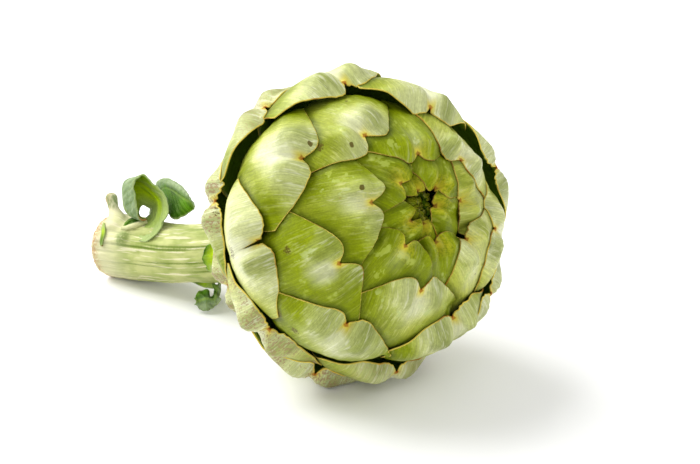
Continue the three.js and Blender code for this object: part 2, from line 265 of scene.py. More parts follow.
# 0 on the outer side of a blade and 1 on the inner one
def insideOf(count, border, atRim):
    return np.repeat([0, 1, atRim], [count, count, len(border)])


# the head's sideways, upward and lengthwise directions
def headBasis():
    tilt = radians(headParams["tilt"])
    axis = np.array([cos(tilt), 0, sin(tilt)])
    up = np.array([-sin(tilt), 0, cos(tilt)])
    return np.stack([up, np.cross(axis, up), axis])


basis = headBasis()
centre = np.array(headParams["centre"], float)


def envelope(direction):
    height = np.where(direction[..., 2] > 0, headParams["tipHeight"], headParams["baseHeight"])
    flat = np.hypot(direction[..., 0], direction[..., 1])
    side = radians(headParams["fullSide"])
    full = direction[..., 0] * cos(side) + direction[..., 1] * sin(side)
    radius = 1 / np.hypot(flat / headParams["radius"], direction[..., 2] / height)
    return radius * (1 + headParams["fullness"] * full)


def groundDistance(direction):
    down = -(direction @ basis)[..., 2]
    least = 0.05  # flatter directions never reach the ground
    return np.where(down > least, headParams["centre"][2] / np.maximum(down, least), 1e9)


def notchPolar(n):
    p = headParams
    inner = min(0, n)
    past = max(0, n - p["spreadBracts"])
    spiral = p["polarStep"] * (n - inner - past) ** p["polarPower"]
    return radians(p["firstPolar"] + spiral + inner + p["spreadStep"] * past)


def bractFrame(n):
    p = headParams
    polar = notchPolar(n)
    turn = radians(p["firstTurn"] - p["goldenTurn"] * n)
    lean = radians(p["lean"] + draw(-p["leanSpread"], p["leanSpread"]))
    notch = np.array([sin(polar) * cos(turn), sin(polar) * sin(turn), cos(polar)])
    side = np.array([-sin(turn), cos(turn), 0])
    ahead = np.cross(notch, side)
    sideways, forward = shift.get(n, (0, 0))
    notch = notch + side * sideways / p["arcRadius"] + ahead * forward / p["arcRadius"]
    notch /= np.linalg.norm(notch)
    across = side * cos(lean) + ahead * sin(lean)
    across -= notch * (across @ notch)
    across /= np.linalg.norm(across)
    return polar, notch, across, np.cross(notch, across)


# where each point of a bract lies across and ahead of its notch, and its direction from the head's centre
def bractLayout(n):
    p = headParams
    polar, notch, acrossAxis, alongAxis = bractFrame(n)
    young = p["youngSize"] + (1 - p["youngSize"]) * (1 - exp(-max(n, 0) / p["sizeGrowth"]))
    size = young * (1 - p["oldShrink"] * float(ease(n, 30, p["lastBract"])))
    halfWidth = p["halfWidth"] * size
    room = p["arcRadius"] * (radians(p["lastPolar"]) - polar)
    length = min(p["length"], p["firstLength"] + p["lengthStep"] * n, room)
    lobes = (draw(0.8, 1.2), draw(0.8, 1.2))
    line = catmull(tipLine, np.linspace(0, 1, p["halfColumns"] + 1))
    share = np.concatenate([-line[:0:-1, 0], line[:, 0]])
    left = line[:0:-1, 1] * np.where(line[:0:-1, 1] > 0, lobes[0], 1)
    right = line[:, 1] * np.where(line[:, 1] > 0, lobes[1], 1)
    reach = np.concatenate([left, right]) * size
    spots = np.stack([share * 4, np.full(len(share), 3.7 * n), np.zeros(len(share))], 1)
    ragged = p["raggedness"] + (p["oldRaggedness"] - p["raggedness"]) * float(ease(n, 24, 32))
    uneven = noiseAt(spots, 1) + 0.5 * noiseAt(spots, 3.4)
    reach += ragged * size * uneven * ease(np.abs(share), 0, 0.1)
    crack = cracks.get(n, 0) * np.maximum(0, 1 - np.abs(share) * halfWidth / p["crackWidth"])
    s = 1 - (1 - np.linspace(0, 1, p["rows"])) ** 1.5
    s, share = np.meshgrid(s, share, indexing="ij")
    width = halfWidth * (p["footWidth"] + (1 - p["footWidth"]) * np.sin(s * pi / 2) ** 0.8)
    across = share * width
    ahead = -length * (1 - s) + reach[None, :] * s**1.5 - crack[None, :] * s**5
    a = (ahead / p["arcRadius"])[..., None]
    b = (across / p["arcRadius"])[..., None]
    direction = (notch * np.cos(a) + alongAxis * np.sin(a)) * np.cos(b) + acrossAxis * np.sin(b)
    return {"n": n, "size": size, "s": s, "share": share, "across": across, "ahead": ahead,
            "direction": direction}


def edgeDistance(layout):
    place = np.stack([layout["across"], layout["ahead"]], -1)
    line = np.concatenate([place[:, 0], place[-1], place[::-1, -1]])
    points = place.reshape(-1, 1, 2)
    starts, ends = line[:-1], line[1:]
    span = ends - starts
    t = np.clip(((points - starts) * span).sum(-1) / np.maximum((span**2).sum(-1), 1e-9), 0, 1)
    gap = points - (starts + span * t[..., None])
    return np.sqrt((gap**2).sum(-1).min(1)).reshape(layout["s"].shape)


# radius of what already lies below each point of a bract
def supportUnder(layout, tree):
    direction = (layout["direction"] @ basis).reshape(-1, 3)
    found = np.zeros(len(direction))
    start = 130  # well outside the head
    for i, d in enumerate(direction):
        hit = tree.ray_cast(Vector(centre + d * start), Vector(-d))
        if hit[0] is not None:
            found[i] = start - hit[3]
    return found.reshape(layout["s"].shape)


# bends a bract smoothly over what lies below, with its free margins pressed down
def relax(radius, wanted, low, hug):
    p = headParams
    for _ in range(p["relaxRounds"]):
        padded = np.pad(radius, 1, mode="edge")
        mean = (padded[:-2, 1:-1] + padded[2:, 1:-1] + padded[1:-1, :-2] + padded[1:-1, 2:]) / 4
        radius = radius + p["relaxEven"] * (mean - radius) + p["relaxBack"] * (wanted - radius)
        radius = radius + hug * p["relaxPress"] * (low - radius)
        radius = np.maximum(radius, low)
    return radius


# lobes that swell on both sides of a crease, and small wrinkles gathered at the notch
def pucker(layout):
    p = headParams
    across, ahead, size = np.abs(layout["across"]), layout["ahead"], layout["size"]
    behind = np.minimum(ahead, 0)
    (lobeAcross, lobeAhead), (lobeWidth, lobeLength) = p["lobePlace"], p["lobeSpan"]
    lobe = np.exp(-((across - lobeAcross * size) / (lobeWidth * size)) ** 2)
    lobe = lobe * np.exp(-((ahead - lobeAhead * size) / lobeLength) ** 2)
    sharp, soft = (np.exp(-(across / width) ** 2) * np.exp(behind / length)
                   for width, length in zip(p["creaseWidths"], p["creaseLengths"]))
    knot = np.exp(-(across / p["knotSpan"][0]) ** 2 - (ahead / p["knotSpan"][1]) ** 2)
    fan = np.sin(layout["across"] * p["wrinklePitch"] + 0.8 * np.sin(ahead * 0.5 + layout["n"]))
    gather = fan * np.exp(-(across / 6) ** 2) * np.exp(behind / 5) * ease(across, 0.4, 1.6)
    swell = flatLobes.get(layout["n"], 1) * (1 + p["youngRelief"] * exp(-max(layout["n"], 0) / 4))
    fold = swell * (p["lobeSwell"] * lobe - p["creaseDepth"] * (sharp + 0.5 * soft))
    return size * (fold + p["knotHeight"] * knot + p["wrinkles"] * gather)


# a bract's tip stands off the head, a loose one along most of its length
def standOff(lift, ahead, share, size):
    close = max(0, headParams["restLift"] - 0.5 * lift) * size
    bulge = lift * ease(-ahead, 46, 10) + close * ease(-ahead, 24, 5)
    return bulge * (1 - headParams["tipSlack"] * np.abs(share) ** 2)


# the lobes curl back in while the notch stays out
def lobeCurl(n, lift, ahead, size):
    p = headParams
    curl = np.clip((ahead + p["curlStart"] * size) / (p["curlLength"] * size), 0, 1) ** 1.6
    return curl * stiffTips.get(n, 1) * (0.85 * lift + p["curlDepth"] * size)


# every bract from the tip outwards, each laid over those before it
def growBracts():
    p = headParams
    placed = []
    for n in range(p["firstBract"], p["lastBract"] + 1):
        layout = bractLayout(n)
        if n == p["hiddenBract"]:
            continue
        s, share, ahead = layout["s"], layout["share"], layout["ahead"]
        direction = layout["direction"]
        rows, columns = s.shape
        lift = tipLift.get(n, looseLift if n > looseFrom else 0)
        standing = standOff(lift, ahead, share, layout["size"])
        sunk = p["shingle"] * np.maximum(0, -ahead) + p["footSink"] * (1 - s) ** 3
        sunk = sunk + p["marginSink"] * np.abs(share) ** 3 + ease(s, 0.8, 1)
        sunk = sunk + p["eyeSink"] * max(0, 1 - n)
        wanted = envelope(direction) + standing - sunk
        edge = edgeDistance(layout)
        nearEdge = np.exp(-edge / p["edgeFade"])
        thick = p["edgeThickness"] + (p["thickness"] - p["edgeThickness"]) * (1 - nearEdge)
        low = np.full(s.shape, float(p["coreRadius"]))
        if placed:
            recent = placed[-p["bractsBelow"]:]
            faces = np.concatenate([gridFaces(rows, columns, i * rows * columns) for i in range(len(recent))])
            vertices = np.concatenate([b["outer"].reshape(-1, 3) for b in recent])
            support = supportUnder(layout, BVHTree.FromPolygons(vertices.tolist(), faces.tolist()))
            low = np.where(support > 0, support + thick * ease(s, 0, 0.4) + p["gap"], p["coreRadius"])
        hug = nearEdge * ease(s, 0.25, 0.6) * (1 if lift < 1.5 else 0.25 if lift < 3 else 0)
        hug = hug * ease(np.abs(share), 0.35, 0.6)
        hug = np.where(low > p["coreRadius"] + 5, hug, 0)
        radius = relax(np.maximum(wanted, low), wanted, low, hug)
        radius = np.maximum(radius + pucker(layout) - lobeCurl(n, lift, ahead, layout["size"]), low)
        spots = np.stack([layout["across"], ahead, np.full(s.shape, 9.0 * n)], -1)
        wave = noiseAt(spots, 0.085) + 0.3 * noiseAt(spots, 0.3)
        radius = np.maximum(radius + p["waves"] * wave * ease(edge, 0, 5), low)
        radius = np.minimum(radius, groundDistance(direction) - p["groundGap"])
        world = direction @ basis
        outer = centre + world * radius[..., None]
        inner = centre + world * (radius - thick)[..., None]
        layout.update(outer=outer, inner=inner, edge=edge)
        placed.append(layout)
    print("bracts grown:", len(placed))
    return placed


# distance from each point of a bract to the nearest margin that lies over it, where the skin lays greener
# colour and painted shade
def findCover(placed):
    for i, layout in enumerate(placed):
        layout["cover"] = np.full(layout["s"].shape, 50.0)
        margins = []
        for over in placed[i + 1:i + 1 + headParams["bractsAbove"]]:
            outer = over["outer"]
            start = len(outer) // 3
            margins += [outer[-1], outer[start:, 0], outer[start:, -1]]
        if margins:
            tree = nearestOf(np.concatenate(margins))
            near = [tree.find(point)[2] for point in layout["outer"].reshape(-1, 3)]
            layout["cover"] = np.array(near).reshape(layout["s"].shape)


def bractAttributes(layout, border):
    n = layout["n"]
    across, ahead, edge, cover = (
        onBlade(layout[key], border) for key in ("across", "ahead", "edge", "cover"))
    count = len(edge)
    rank = layout.get("rank", (n + 2) / (headParams["lastBract"] + 2))  # 0 at the tip to 1 at the base
    return {"place": np.stack([across, ahead, np.full(count, float(n))], 1), "edge": edge, "cover": cover,
            "inside": insideOf(layout["across"].size, border, 0), "rank": np.full(count, rank),
            "paleMore": np.full(count, float(paleMore.get(n, 0)))}


def joinBracts(name, layouts, rim, material):
    vertices, faces, attributes, count = [], [], [], 0
    for layout in layouts:
        v, f, border = bladeMesh(layout["outer"], layout["inner"], rim)
        vertices.append(v)
        faces.append(f + count)
        attributes.append(bractAttributes(layout, border))
        count += len(v)
    merged = {key: np.concatenate([a[key] for a in attributes]) for key in attributes[0]}
    piece = makeMesh(name, np.concatenate(vertices), np.concatenate(faces), merged, material)
    standFor(piece, "head")


# the last bract of each piece of the head
lastBracts = {"tipBracts": 10, "middleBracts": 22, "outerBracts": 34, "baseBracts": 46}


def buildHead(material):
    placed = growBracts()
    findCover(placed)
    before = headParams["firstBract"] - 1
    for name, last in lastBracts.items():
        layouts = [layout for layout in placed if before < layout["n"] <= last]
        joinBracts(name, layouts, headParams["rimBulge"], material)
        before = last


# the crumpled young tips at the bottom of the head's eye
eyeParams = {
    "tips": 15,
    "firstTurn": 20,
    "rows": 18,
    "columns": 15,
    "thickness": 0.45,
    "rimBulge": 0.15,
    "rank": -0.1,
    "depth": 12.6,
    "funnel": 0.09,
    "spacing": 0.5,
    "width": 7,
    "height": 6.4,
}


def buildEye(material):
    p = eyeParams
    layouts = []
    s, share = np.meshgrid(np.linspace(0, 1, p["rows"]), np.linspace(-1, 1, p["columns"]), indexing="ij")
    for k in range(p["tips"]):
        turn = radians(headParams["goldenTurn"] * k + p["firstTurn"])
        outward = basis[0] * cos(turn) + basis[1] * sin(turn)
        sideways = np.cross(basis[2], outward)
        grown = 0.6 + 0.4 * k / p["tips"]
        half = p["width"] / 2 * grown * np.sqrt(np.clip(1 - s**3, 0.03, 1))
        high = p["height"] * grown * (s - 0.12 * share**2 + 0.06 * np.cos(share * 9 + k) * s)
        out = 0.7 + p["spacing"] * k + 1.4 * np.sin(s * 2.6) - (1.1 + 0.1 * k) * s**3
        out = out - 0.7 * share**2 + 0.25 * np.sin(share * 5 + k)
        foot = centre + basis[2] * (headParams["tipHeight"] - p["depth"] + p["funnel"] * k)
        outer = foot + outward * out[..., None] + sideways * (share * half)[..., None]
        outer = outer + basis[2] * high[..., None]
        layouts.append({
            "n": -3.0 - k, "rank": p["rank"], "outer": outer, "inner": outer - outward * p["thickness"],
            "across": share * half + 2.4, "ahead": high - p["height"] - 1.8,
            # a low cover down at the foot lays painted shade deep in the eye's hollow, lighter up the tips
            "edge": 0.1 + (1 - s) * 6, "cover": 0.2 + 12 * s**2,
        })
    joinBracts("eyeTips", layouts, p["rimBulge"], material)


# the stem: one skin over the stalk, the foot of a cut leaf and a small knob, then its ribs
stemParams = {
    "radius": 11.8,
    "endRadius": 13.4,  # at the cut
    "path": [(6, 1, 36.8), (-6, 1, 30.8), (-45.5, -18.5, 19), (-67, -26, 15), (-87, -33.3, 12.5)],
    "steps": 90,
    "sides": 72,
    "cutRounding": 1.2,
    "stubPath": [(-77, -33.5, 19), (-79.5, -33.5, 24), (-83.5, -33, 29.5), (-86, -32.5, 33)],
    "stubSteps": 14,
    "stubSides": 20,
    "stubRadius": 5.8,
    "stubTipRadius": 2.4,
    "knob": (-69, -37, 22.2),
    "knobRadius": 2.8,
    "voxel": 0.55,
    "smoothRounds": 14,
    "ribs": 11,
    "ribHeight": 0.25,
    "grooves": 30,
    "grooveDepth": 0.4,
    "grooveWidth": 0.6,
}


# quads round a tube of rings, and its two end faces
def ringFaces(steps, sides):
    faces = []
    for r in range(steps):
        for k in range(sides):
            a, b = r * sides + k, r * sides + (k + 1) % sides
            faces.append([a, b, b + sides, a + sides])
    last = steps * sides
    return faces + [list(range(sides))[::-1], list(range(last, last + sides))]


def tube(path, radius, steps, sides):
    points, along, _ = sweep(path, steps)
    side, up = sideAndUp(along)
    turn = np.linspace(0, 2 * pi, sides, endpoint=False)
    ring = side[:, None] * np.cos(turn)[None, :, None] + up[:, None] * np.sin(turn)[None, :, None]
    vertices = points[:, None] + ring * radius(np.linspace(0, 1, steps + 1))[:, None, None]
    return vertices.reshape(-1, 3), ringFaces(steps, sides)


def ball(place, radius, steps=8, sides=16):
    turns = np.linspace(0, 2 * pi, sides, endpoint=False)
    turns, rises = np.meshgrid(turns, np.linspace(-1.4, 1.4, steps + 1))
    v = np.stack([np.cos(turns) * np.cos(rises), np.sin(turns) * np.cos(rises), np.sin(rises)], -1)
    return (np.array(place) + v * radius).reshape(-1, 3), ringFaces(steps, sides)


# one closed skin over several overlapping bodies
def fuse(bodies, voxel):
    vertices, faces, count = [], [], 0
    for v, f in bodies:
        vertices.append(v)
        faces += [[i + count for i in face] for face in f]
        count += len(v)
    rough = makeMesh("rough", np.concatenate(vertices), faces, {}, None)
    remesh = rough.modifiers.new("skin", "REMESH")
    remesh.mode = "VOXEL"
    remesh.voxel_size = voxel * mm
    bpy.context.view_layer.update()
    done = rough.evaluated_get(bpy.context.evaluated_depsgraph_get()).to_mesh()
    points = np.empty(len(done.vertices) * 3, np.float32)
    done.vertices.foreach_get("co", points)
    quads = [list(face.vertices) for face in done.polygons]
    edges = np.empty(len(done.edges) * 2, np.int32)
    done.edges.foreach_get("vertices", edges)
    bpy.data.objects.remove(rough)
    return points.reshape(-1, 3).astype(float) / mm, quads, edges.reshape(-1, 2)


def smoothSkin(points, edges, rounds, share):
    count = np.bincount(edges.ravel(), minlength=len(points))[:, None]
    share = np.broadcast_to(share, len(points))[:, None]
    for _ in range(rounds):
        total = np.zeros_like(points)
        np.add.at(total, edges[:, 0], points[edges[:, 1]])
        np.add.at(total, edges[:, 1], points[edges[:, 0]])
        points = points + share * (total / count - points)
    return points


def skinNormals(points, faces):
    quads = np.array([face if len(face) == 4 else face + face[-1:] for face in faces])
    normal = np.cross(points[quads[:, 2]] - points[quads[:, 0]], points[quads[:, 3]] - points[quads[:, 1]])
    total = np.zeros_like(points)
    for k in range(4):
        np.add.at(total, quads[:, k], normal)
    return unit(total)


def buildStem(material):
    p = stemParams
    grow = lambda t: p["radius"] + (p["endRadius"] - p["radius"]) * ease(t, 0.6, 0.95)
    taper = lambda t: p["stubRadius"] + (p["stubTipRadius"] - p["stubRadius"]) * ease(t, 0.25, 0.75)
    rounded = lambda t: grow(t) - p["cutRounding"] * ease(t, 0.975, 1) ** 2
    stalk = tube(p["path"], rounded, p["steps"], p["sides"])
    stub = tube(p["stubPath"], taper, p["stubSteps"], p["stubSides"])
    bud = ball(p["stubPath"][-1], p["stubTipRadius"] + 0.3)
    points, faces, edges = fuse([stalk, stub, bud, ball(p["knob"], p["knobRadius"])], p["voxel"])

    # where each point lies along the stalk, round it and out from it
    spots = 400
    line, along, length = sweep(p["path"], spots)
    tree = nearestOf(line)
    nearest = np.array([tree.find(point)[1] for point in points])
    share = nearest / spots
    direction = along[nearest]
    side, up = sideAndUp(direction)
    away = points - line[nearest]
    turn = np.arctan2((away * up).sum(1), (away * side).sum(1))
    radial = np.linalg.norm(away - direction * (away * direction).sum(1)[:, None], axis=1)
    off = radial - grow(share)
    body = 1 - ease(off, 0.3, 2.2)
    joint = 0.5 * ease(off, -0.4, 0.4) * (1 - ease(off, 3, 6))
    points = smoothSkin(points, edges, p["smoothRounds"], joint + 0.1)
    normal = skinNormals(points, faces)
    cut = ease((normal * direction).sum(1), 0.5, 0.8) * (share > 0.95)
    body = body * (1 - cut)

    # long shallow ribs, and finer grooves that wander and fade
    height = p["ribHeight"] * np.cos(p["ribs"] * turn) * ease(1 - share, 0, 0.05)
    groove = np.zeros(len(points))
    for k in range(p["grooves"]):
        place = 2 * pi * (k + draw(-0.3, 0.3)) / p["grooves"] + draw(-0.12, 0.12) * np.sin(share * 5 + k)
        gap = np.abs((turn - place + pi) % (2 * pi) - pi) * p["radius"]
        fade = 0.35 + 0.65 * ease(np.sin(share * draw(4, 9) + k * 2), -0.6, 0.5)
        groove = np.maximum(groove, draw(0.45, 1) * fade * np.exp(-(gap / p["grooveWidth"]) ** 2))
    lumps = noiseAt(points, 0.09) * 0.5 + noiseAt(points, 0.35) * 0.16
    shape = body * (height - p["grooveDepth"] * groove) + lumps * (1 - 0.6 * cut)
    pith = cut * (1.1 * np.exp(-(np.linalg.norm(away, axis=1) / 8) ** 2) - 0.25 * noiseAt(points, 0.8))
    points = points + normal * (shape - pith)[:, None]
    points[:, 2] = np.maximum(points[:, 2], headParams["groundGap"])
    fromKnob = np.linalg.norm(points - np.array(p["knob"]), axis=1) / p["knobRadius"]
    fromBud = np.linalg.norm(points - np.array(p["stubPath"][-1]), axis=1)
    attributes = {
        "place": np.stack([turn * p["radius"], share * length, np.zeros(len(points))], 1),
        "groove": groove * body, "cut": cut, "stub": ease(off, 0.5, 4), "ring": radial / p["endRadius"],
        "fromCut": (1 - share) * length, "knob": 1 - ease(fromKnob, 0.6, 1.7),
        "bud": 1 - ease(fromBud, 3.2, 6),
    }
    standFor(makeMesh("stalk", points, faces, attributes, material), "stem")


# small leaves, scales and a fold on the stem, laid out in a frame at its cut end: x right, y up, z out
# to the side. Three lines run along each blade: its two margins and its middle.
leafFrame = {"origin": (-86, -33, 14), "turn": 54, "rise": 23}
veinSlant = 0.55  # of the side veins, the same in the mesh and in its colours
veinPitch = 1.05

leafParams = {
    "curledLeaf": {
        "node": "leaf_curled", "tipFirst": True, "youth": 1, "rows": 130, "columns": 44, "thickness": 1,
        "frill": 0.6, "quilt": 0.4,
        "left": [(14.5, 9.5, 19), (12.5, 11.5, 12), (12.5, 13.5, 11), (13, 14.5, 10), (14, 15, 10),
                 (16, 14, 10), (17, 12.5, 11), (16.5, 10.5, 13), (13.5, 9, 14), (9.5, 6.5, 12)],
        "middle": [(15.5, 8.5, 20.5), (8.5, 11.5, 14), (6.5, 16.5, 15), (7, 23.5, 14), (12.5, 24, 13),
                   (18, 19.5, 14), (21.5, 15.5, 17), (21, 8.5, 20), (17.5, 4.5, 21), (8, 4.5, 14)],
        "right": [(16.5, 8.5, 21.5), (13, 10.5, 21), (12.5, 17, 22), (11.5, 23.5, 22), (15, 27, 21),
                  (19, 24, 22), (25, 17, 24), (24.5, 8.5, 26), (17, 0, 25.5), (5, 4, 13)],
    },
    "pointedLeaf": {
        "node": "leaf_pointed", "youth": 0, "turned": True, "fold": (0.02, -0.18), "rows": 80,
        "columns": 44, "frill": 0.5, "quilt": 0.45,
        "left": [(16, 11.5, 5), (17, 18, 3), (19, 24.5, 4), (23.5, 26, 8), (29.5, 23, 15), (33, 19, 20),
                 (36.5, 14, 25)],
        "middle": [(17.5, 11, 8), (19, 17.5, 5), (22, 23, 9), (26.5, 22.5, 15), (31.5, 19.5, 21),
                   (34.5, 16.5, 24), (36.5, 14, 25)],
        "right": [(19, 10.5, 10), (21, 14.5, 8), (23, 14.5, 13), (25.5, 11, 19), (28.5, 9, 24),
                  (32.5, 10.5, 25), (36.5, 13, 25)],
    },
    "underLeaf": {
        "node": "leaf_under", "youth": 0.6, "rows": 40, "columns": 24, "frill": 0.25, "quilt": 0.3,
        "left": [(45, -12.5, 26), (41.5, -13.5, 24), (38.5, -15, 23), (35.5, -16, 23)],
        "middle": [(45, -15.5, 27), (41.5, -16, 26), (38, -16, 24.5), (35.5, -16, 23)],
        "right": [(44.5, -19, 27), (40.5, -18.5, 25), (38, -17.5, 24), (35.5, -16.5, 23)],
    },
    "crinkledLeaf": {
        "node": "leaf_crinkled", "youth": 0, "fold": (-0.5, 0.4), "rows": 70, "columns": 40, "frill": 2.4,
        "quilt": 1.2,
        "left": [(47, -11, 24), (45.5, -18, 28), (44.5, -21.5, 31), (40.5, -19.5, 31), (38, -20.5, 31),
                 (37.5, -23, 32)],
        "middle": [(48, -12, 24), (46.5, -18.5, 29), (45.5, -23, 32.5), (42, -23.5, 34), (39, -24, 32.5),
                   (38, -24, 32.5)],
        "right": [(48.5, -12.5, 24), (47.5, -19, 29), (47, -24.5, 32), (43.5, -27.5, 33),
                  (40.5, -27.5, 32), (38.5, -24.5, 32)],
    },
    "stemScale": {
        "youth": 1, "rows": 36, "columns": 30, "frill": 0.3, "quilt": 0.2,
        "left": [(52.5, -1.8, 46.4), (47, -0.8, 44.4), (43.2, -1.4, 43), (42.2, -4, 42.6)],
        "middle": [(50.4, -6.5, 46), (44.5, -6.7, 43.9), (42.2, -6.3, 42.3), (41.6, -6.3, 42)],
        "right": [(50.9, -11.9, 43.4), (45.6, -11.9, 40.9), (42.9, -10.7, 39.7), (42.2, -8.5, 40.8)],
    },
    "stemSliver": {
        "youth": 1, "turned": True, "rows": 40, "columns": 12, "thickness": 0.8, "frill": 0, "quilt": 0.1,
        "left": [(-1.9, 7.2, 10.3), (-1.4, 5.4, 12.6), (-1.3, 3, 14.3), (-2.1, -0.1, 14.8),
                 (-2.6, -2.1, 14.2)],
        "middle": [(-2.2, 7.2, 10.2), (-2.1, 5.5, 12.1), (-2.1, 3.1, 13.7), (-2.7, 0, 14.4),
                   (-2.9, -2, 14)],
        "right": [(-2.4, 7.2, 10), (-2.9, 5.6, 11.6), (-2.9, 3.2, 13.2), (-3.4, 0.1, 13.9),
                  (-3.1, -2, 13.9)],
    },
    "axilLeaf": {
        "youth": 0, "rows": 36, "columns": 16, "thickness": 0.7, "frill": 0, "quilt": 0.15,
        "left": [(6.9, 6, 16), (8.7, 6.4, 16.9), (10.8, 7.4, 17.2), (13.5, 8.3, 16.4), (16.2, 8.9, 16.7)],
        "middle": [(6.9, 6.2, 15.9), (8.3, 7.7, 15.9), (10.4, 8.6, 14.6), (13.4, 8.9, 15.4),
                   (16.2, 9.1, 16.2)],
        "right": [(7, 6.4, 15.9), (8.3, 8.8, 13.8), (10.5, 9.7, 12.7), (13.3, 9.5, 14.2),
                  (16.1, 9.3, 15.8)],
    },
    "sheathFold": {
        "youth": 1, "slot": "stem", "rows": 40, "columns": 14, "frill": 0.5, "quilt": 0.1,
        "left": [(5.6, 4.9, 15.2), (8.8, 5, 17.2), (11.9, 5.7, 18.6), (14.4, 6.4, 17.6), (16.2, 7.2, 17)],
        "middle": [(5.9, 5.3, 15.7), (8.9, 5.8, 18), (12, 6.7, 19.1), (14.4, 7.5, 18.5), (16.3, 8, 17.6)],
        "right": [(6.1, 5.6, 15.6), (8.9, 6.4, 17.5), (11.9, 7.4, 18.5), (14.3, 8.3, 17.9),
                  (16.2, 8.6, 17.3)],
    },
}


def leafPlace(points):
    rise, turn = radians(90 - leafFrame["rise"]), radians(leafFrame["turn"])
    x, y, z = np.moveaxis(np.asarray(points, float), -1, 0)
    y, z = y * cos(rise) - z * sin(rise), y * sin(rise) + z * cos(rise)
    x, y = x * cos(turn) - y * sin(turn), x * sin(turn) + y * cos(turn)
    return np.stack([x, y, z], -1) + leafFrame["origin"]


def buildLeaf(name, number, material):
    p = leafParams[name]
    rows, columns = p["rows"], p["columns"]
    lines = zip(p["left"], p["middle"], p["right"])
    nets = np.stack([catmull(leafPlace(line), np.linspace(0, 1, columns)) for line in lines])
    surface = catmull(nets, np.linspace(0, 1, rows))
    along = np.gradient(surface, axis=0)
    across = np.gradient(surface, axis=1)
    normal = unit(np.cross(across, along))
    walked = np.cumsum(np.linalg.norm(along, axis=-1), axis=0)
    if p.get("tipFirst"):
        walked = walked[-1] - walked
    width = np.cumsum(np.linalg.norm(across, axis=-1), axis=1)
    middle = width - width[:, -1:] / 2
    edge = np.minimum(np.minimum(width, width[:, -1:] - width), walked.max() - walked)

    # wavy margins, and a blade quilted between its veins
    apart = 20.0 * number  # gives each leaf its own noise
    spots = np.stack([middle, walked, np.full(middle.shape, apart)], -1)
    free = ease(walked, 0, 8)
    frill = p["frill"] * free * np.exp(-edge / 3) * noiseAt(spots, 0.42) * 1.6
    rib = np.exp(-(middle / 0.9) ** 2)
    side = np.abs(np.sin((walked - veinSlant * np.abs(middle)) * veinPitch + 0.5 * noiseAt(spots, 0.3)))
    quilt = p["quilt"] * free * (side ** 0.6 - 0.5) * (1 - rib) * ease(edge, 0, 1.5)
    offset = frill + quilt - 0.3 * rib * free
    surface = surface + normal * offset[..., None]
    half = p.get("thickness", 0.9) * (0.3 + 0.2 * ease(edge, 0, 2.5) + 0.25 * rib) * (1 + 0.5 * (1 - free))
    outer = surface + normal * half[..., None]
    inner = surface - normal * half[..., None]
    lowest = headParams["groundGap"]
    for grid in (outer, inner):
        grid[..., 2] = np.maximum(grid[..., 2], 2 * lowest)
    vertices, faces, border = bladeMesh(outer, inner, 0.2)
    vertices[:, 2] = np.maximum(vertices[:, 2], lowest)
    inside = insideOf(rows * columns, border, 0.5)
    whole = np.ones(len(vertices))
    attributes = {
        "place": np.stack([onBlade(middle, border), onBlade(walked, border), whole * apart], 1),
        "inside": 1 - inside if p.get("turned") else inside,
        "edge": onBlade(edge, border), "reach": onBlade(walked / walked.max(), border),
        "fold": onBlade(ease(middle / width[:, -1:], *p.get("fold", (2, 3))), border),
        "youth": whole * p["youth"], "fromCut": whole * 12,  # read where a blade wears the stem's skin
    }
    piece = makeMesh(name, vertices, faces, attributes, material)
    standFor(piece, p.get("node", "stem"))


# shader tools: a new node goes into nodeTree, which is set where a material or group is begun
nodeTree = None


def makeMaterial(name):
    global nodeTree
    material = bpy.data.materials.new(name)
    material.use_nodes = True
    nodeTree = material.node_tree
    return material, nodeTree.nodes["Principled BSDF"]


def feed(value, socket):
    if isinstance(value, bpy.types.NodeSocket):
        nodeTree.links.new(value, socket)
    else:
        socket.default_value = value


def addNode(kind, inputs, **settings):
    node = nodeTree.nodes.new("ShaderNode" + kind)
    for key, value in settings.items():
        setattr(node, key, value)
    for key, value in inputs.items():
        feed(value, node.inputs[key])
    return node


def calc(operation, a, b=0, c=0, clamp=False):
    return addNode("Math", {0: a, 1: b, 2: c}, operation=operation, use_clamp=clamp).outputs[0]


def vectorCalc(operation, a, b, output="Vector"):
    return addNode("VectorMath", {0: a, 1: b}, operation=operation).outputs[output]


def times(first, *others):
    for other in others:
        first = calc("MULTIPLY", first, other)
    return first


# the same smooth step in nodes, from to[0] to to[1]
def band(value, low, high, to=(0, 1)):
    inputs = {"Value": value, "From Min": low, "From Max": high, "To Min": to[0], "To Max": to[1]}
    return addNode("MapRange", inputs, interpolation_type="SMOOTHSTEP").outputs["Result"]


def blendColour(factor, a, b, mode="MIX"):
    inputs = {0: factor, 6: a, 7: b}
    return addNode("Mix", inputs, data_type="RGBA", blend_type=mode, clamp_factor=True).outputs[2]


# lays colours of a look over a base, each by its own mask
def paint(base, look, **masks):
    for key, mask in masks.items():
        base = blendColour(mask, base, look[key])
    return base


def shade(colourIn, value):
    grey = addNode("CombineColor", {0: value, 1: value, 2: value}).outputs[0]
    return blendColour(1, colourIn, grey, "MULTIPLY")


# a colour given as it looks on screen, 0 to 255
def colour(r, g, b):
    parts = [v / 255 for v in (r, g, b)]
    return tuple(v / 12.92 if v <= 0.04045 else ((v + 0.055) / 1.055) ** 2.4 for v in parts) + (1,)


# a look with its colours, which are tuples, as the shader takes them
def lookOf(values):
    return {key: colour(*value) if isinstance(value, tuple) else value for key, value in values.items()}


# a mesh's place, as a vector and in parts, and its other attributes
def placeOf():
    place = addNode("Attribute", {}, attribute_name="place").outputs["Vector"]
    parts = addNode("SeparateXYZ", {0: place}).outputs
    return place, parts[0], parts[1]


def readAttributes(*names):
    return [addNode("Attribute", {}, attribute_name=name).outputs["Fac"] for name in names]


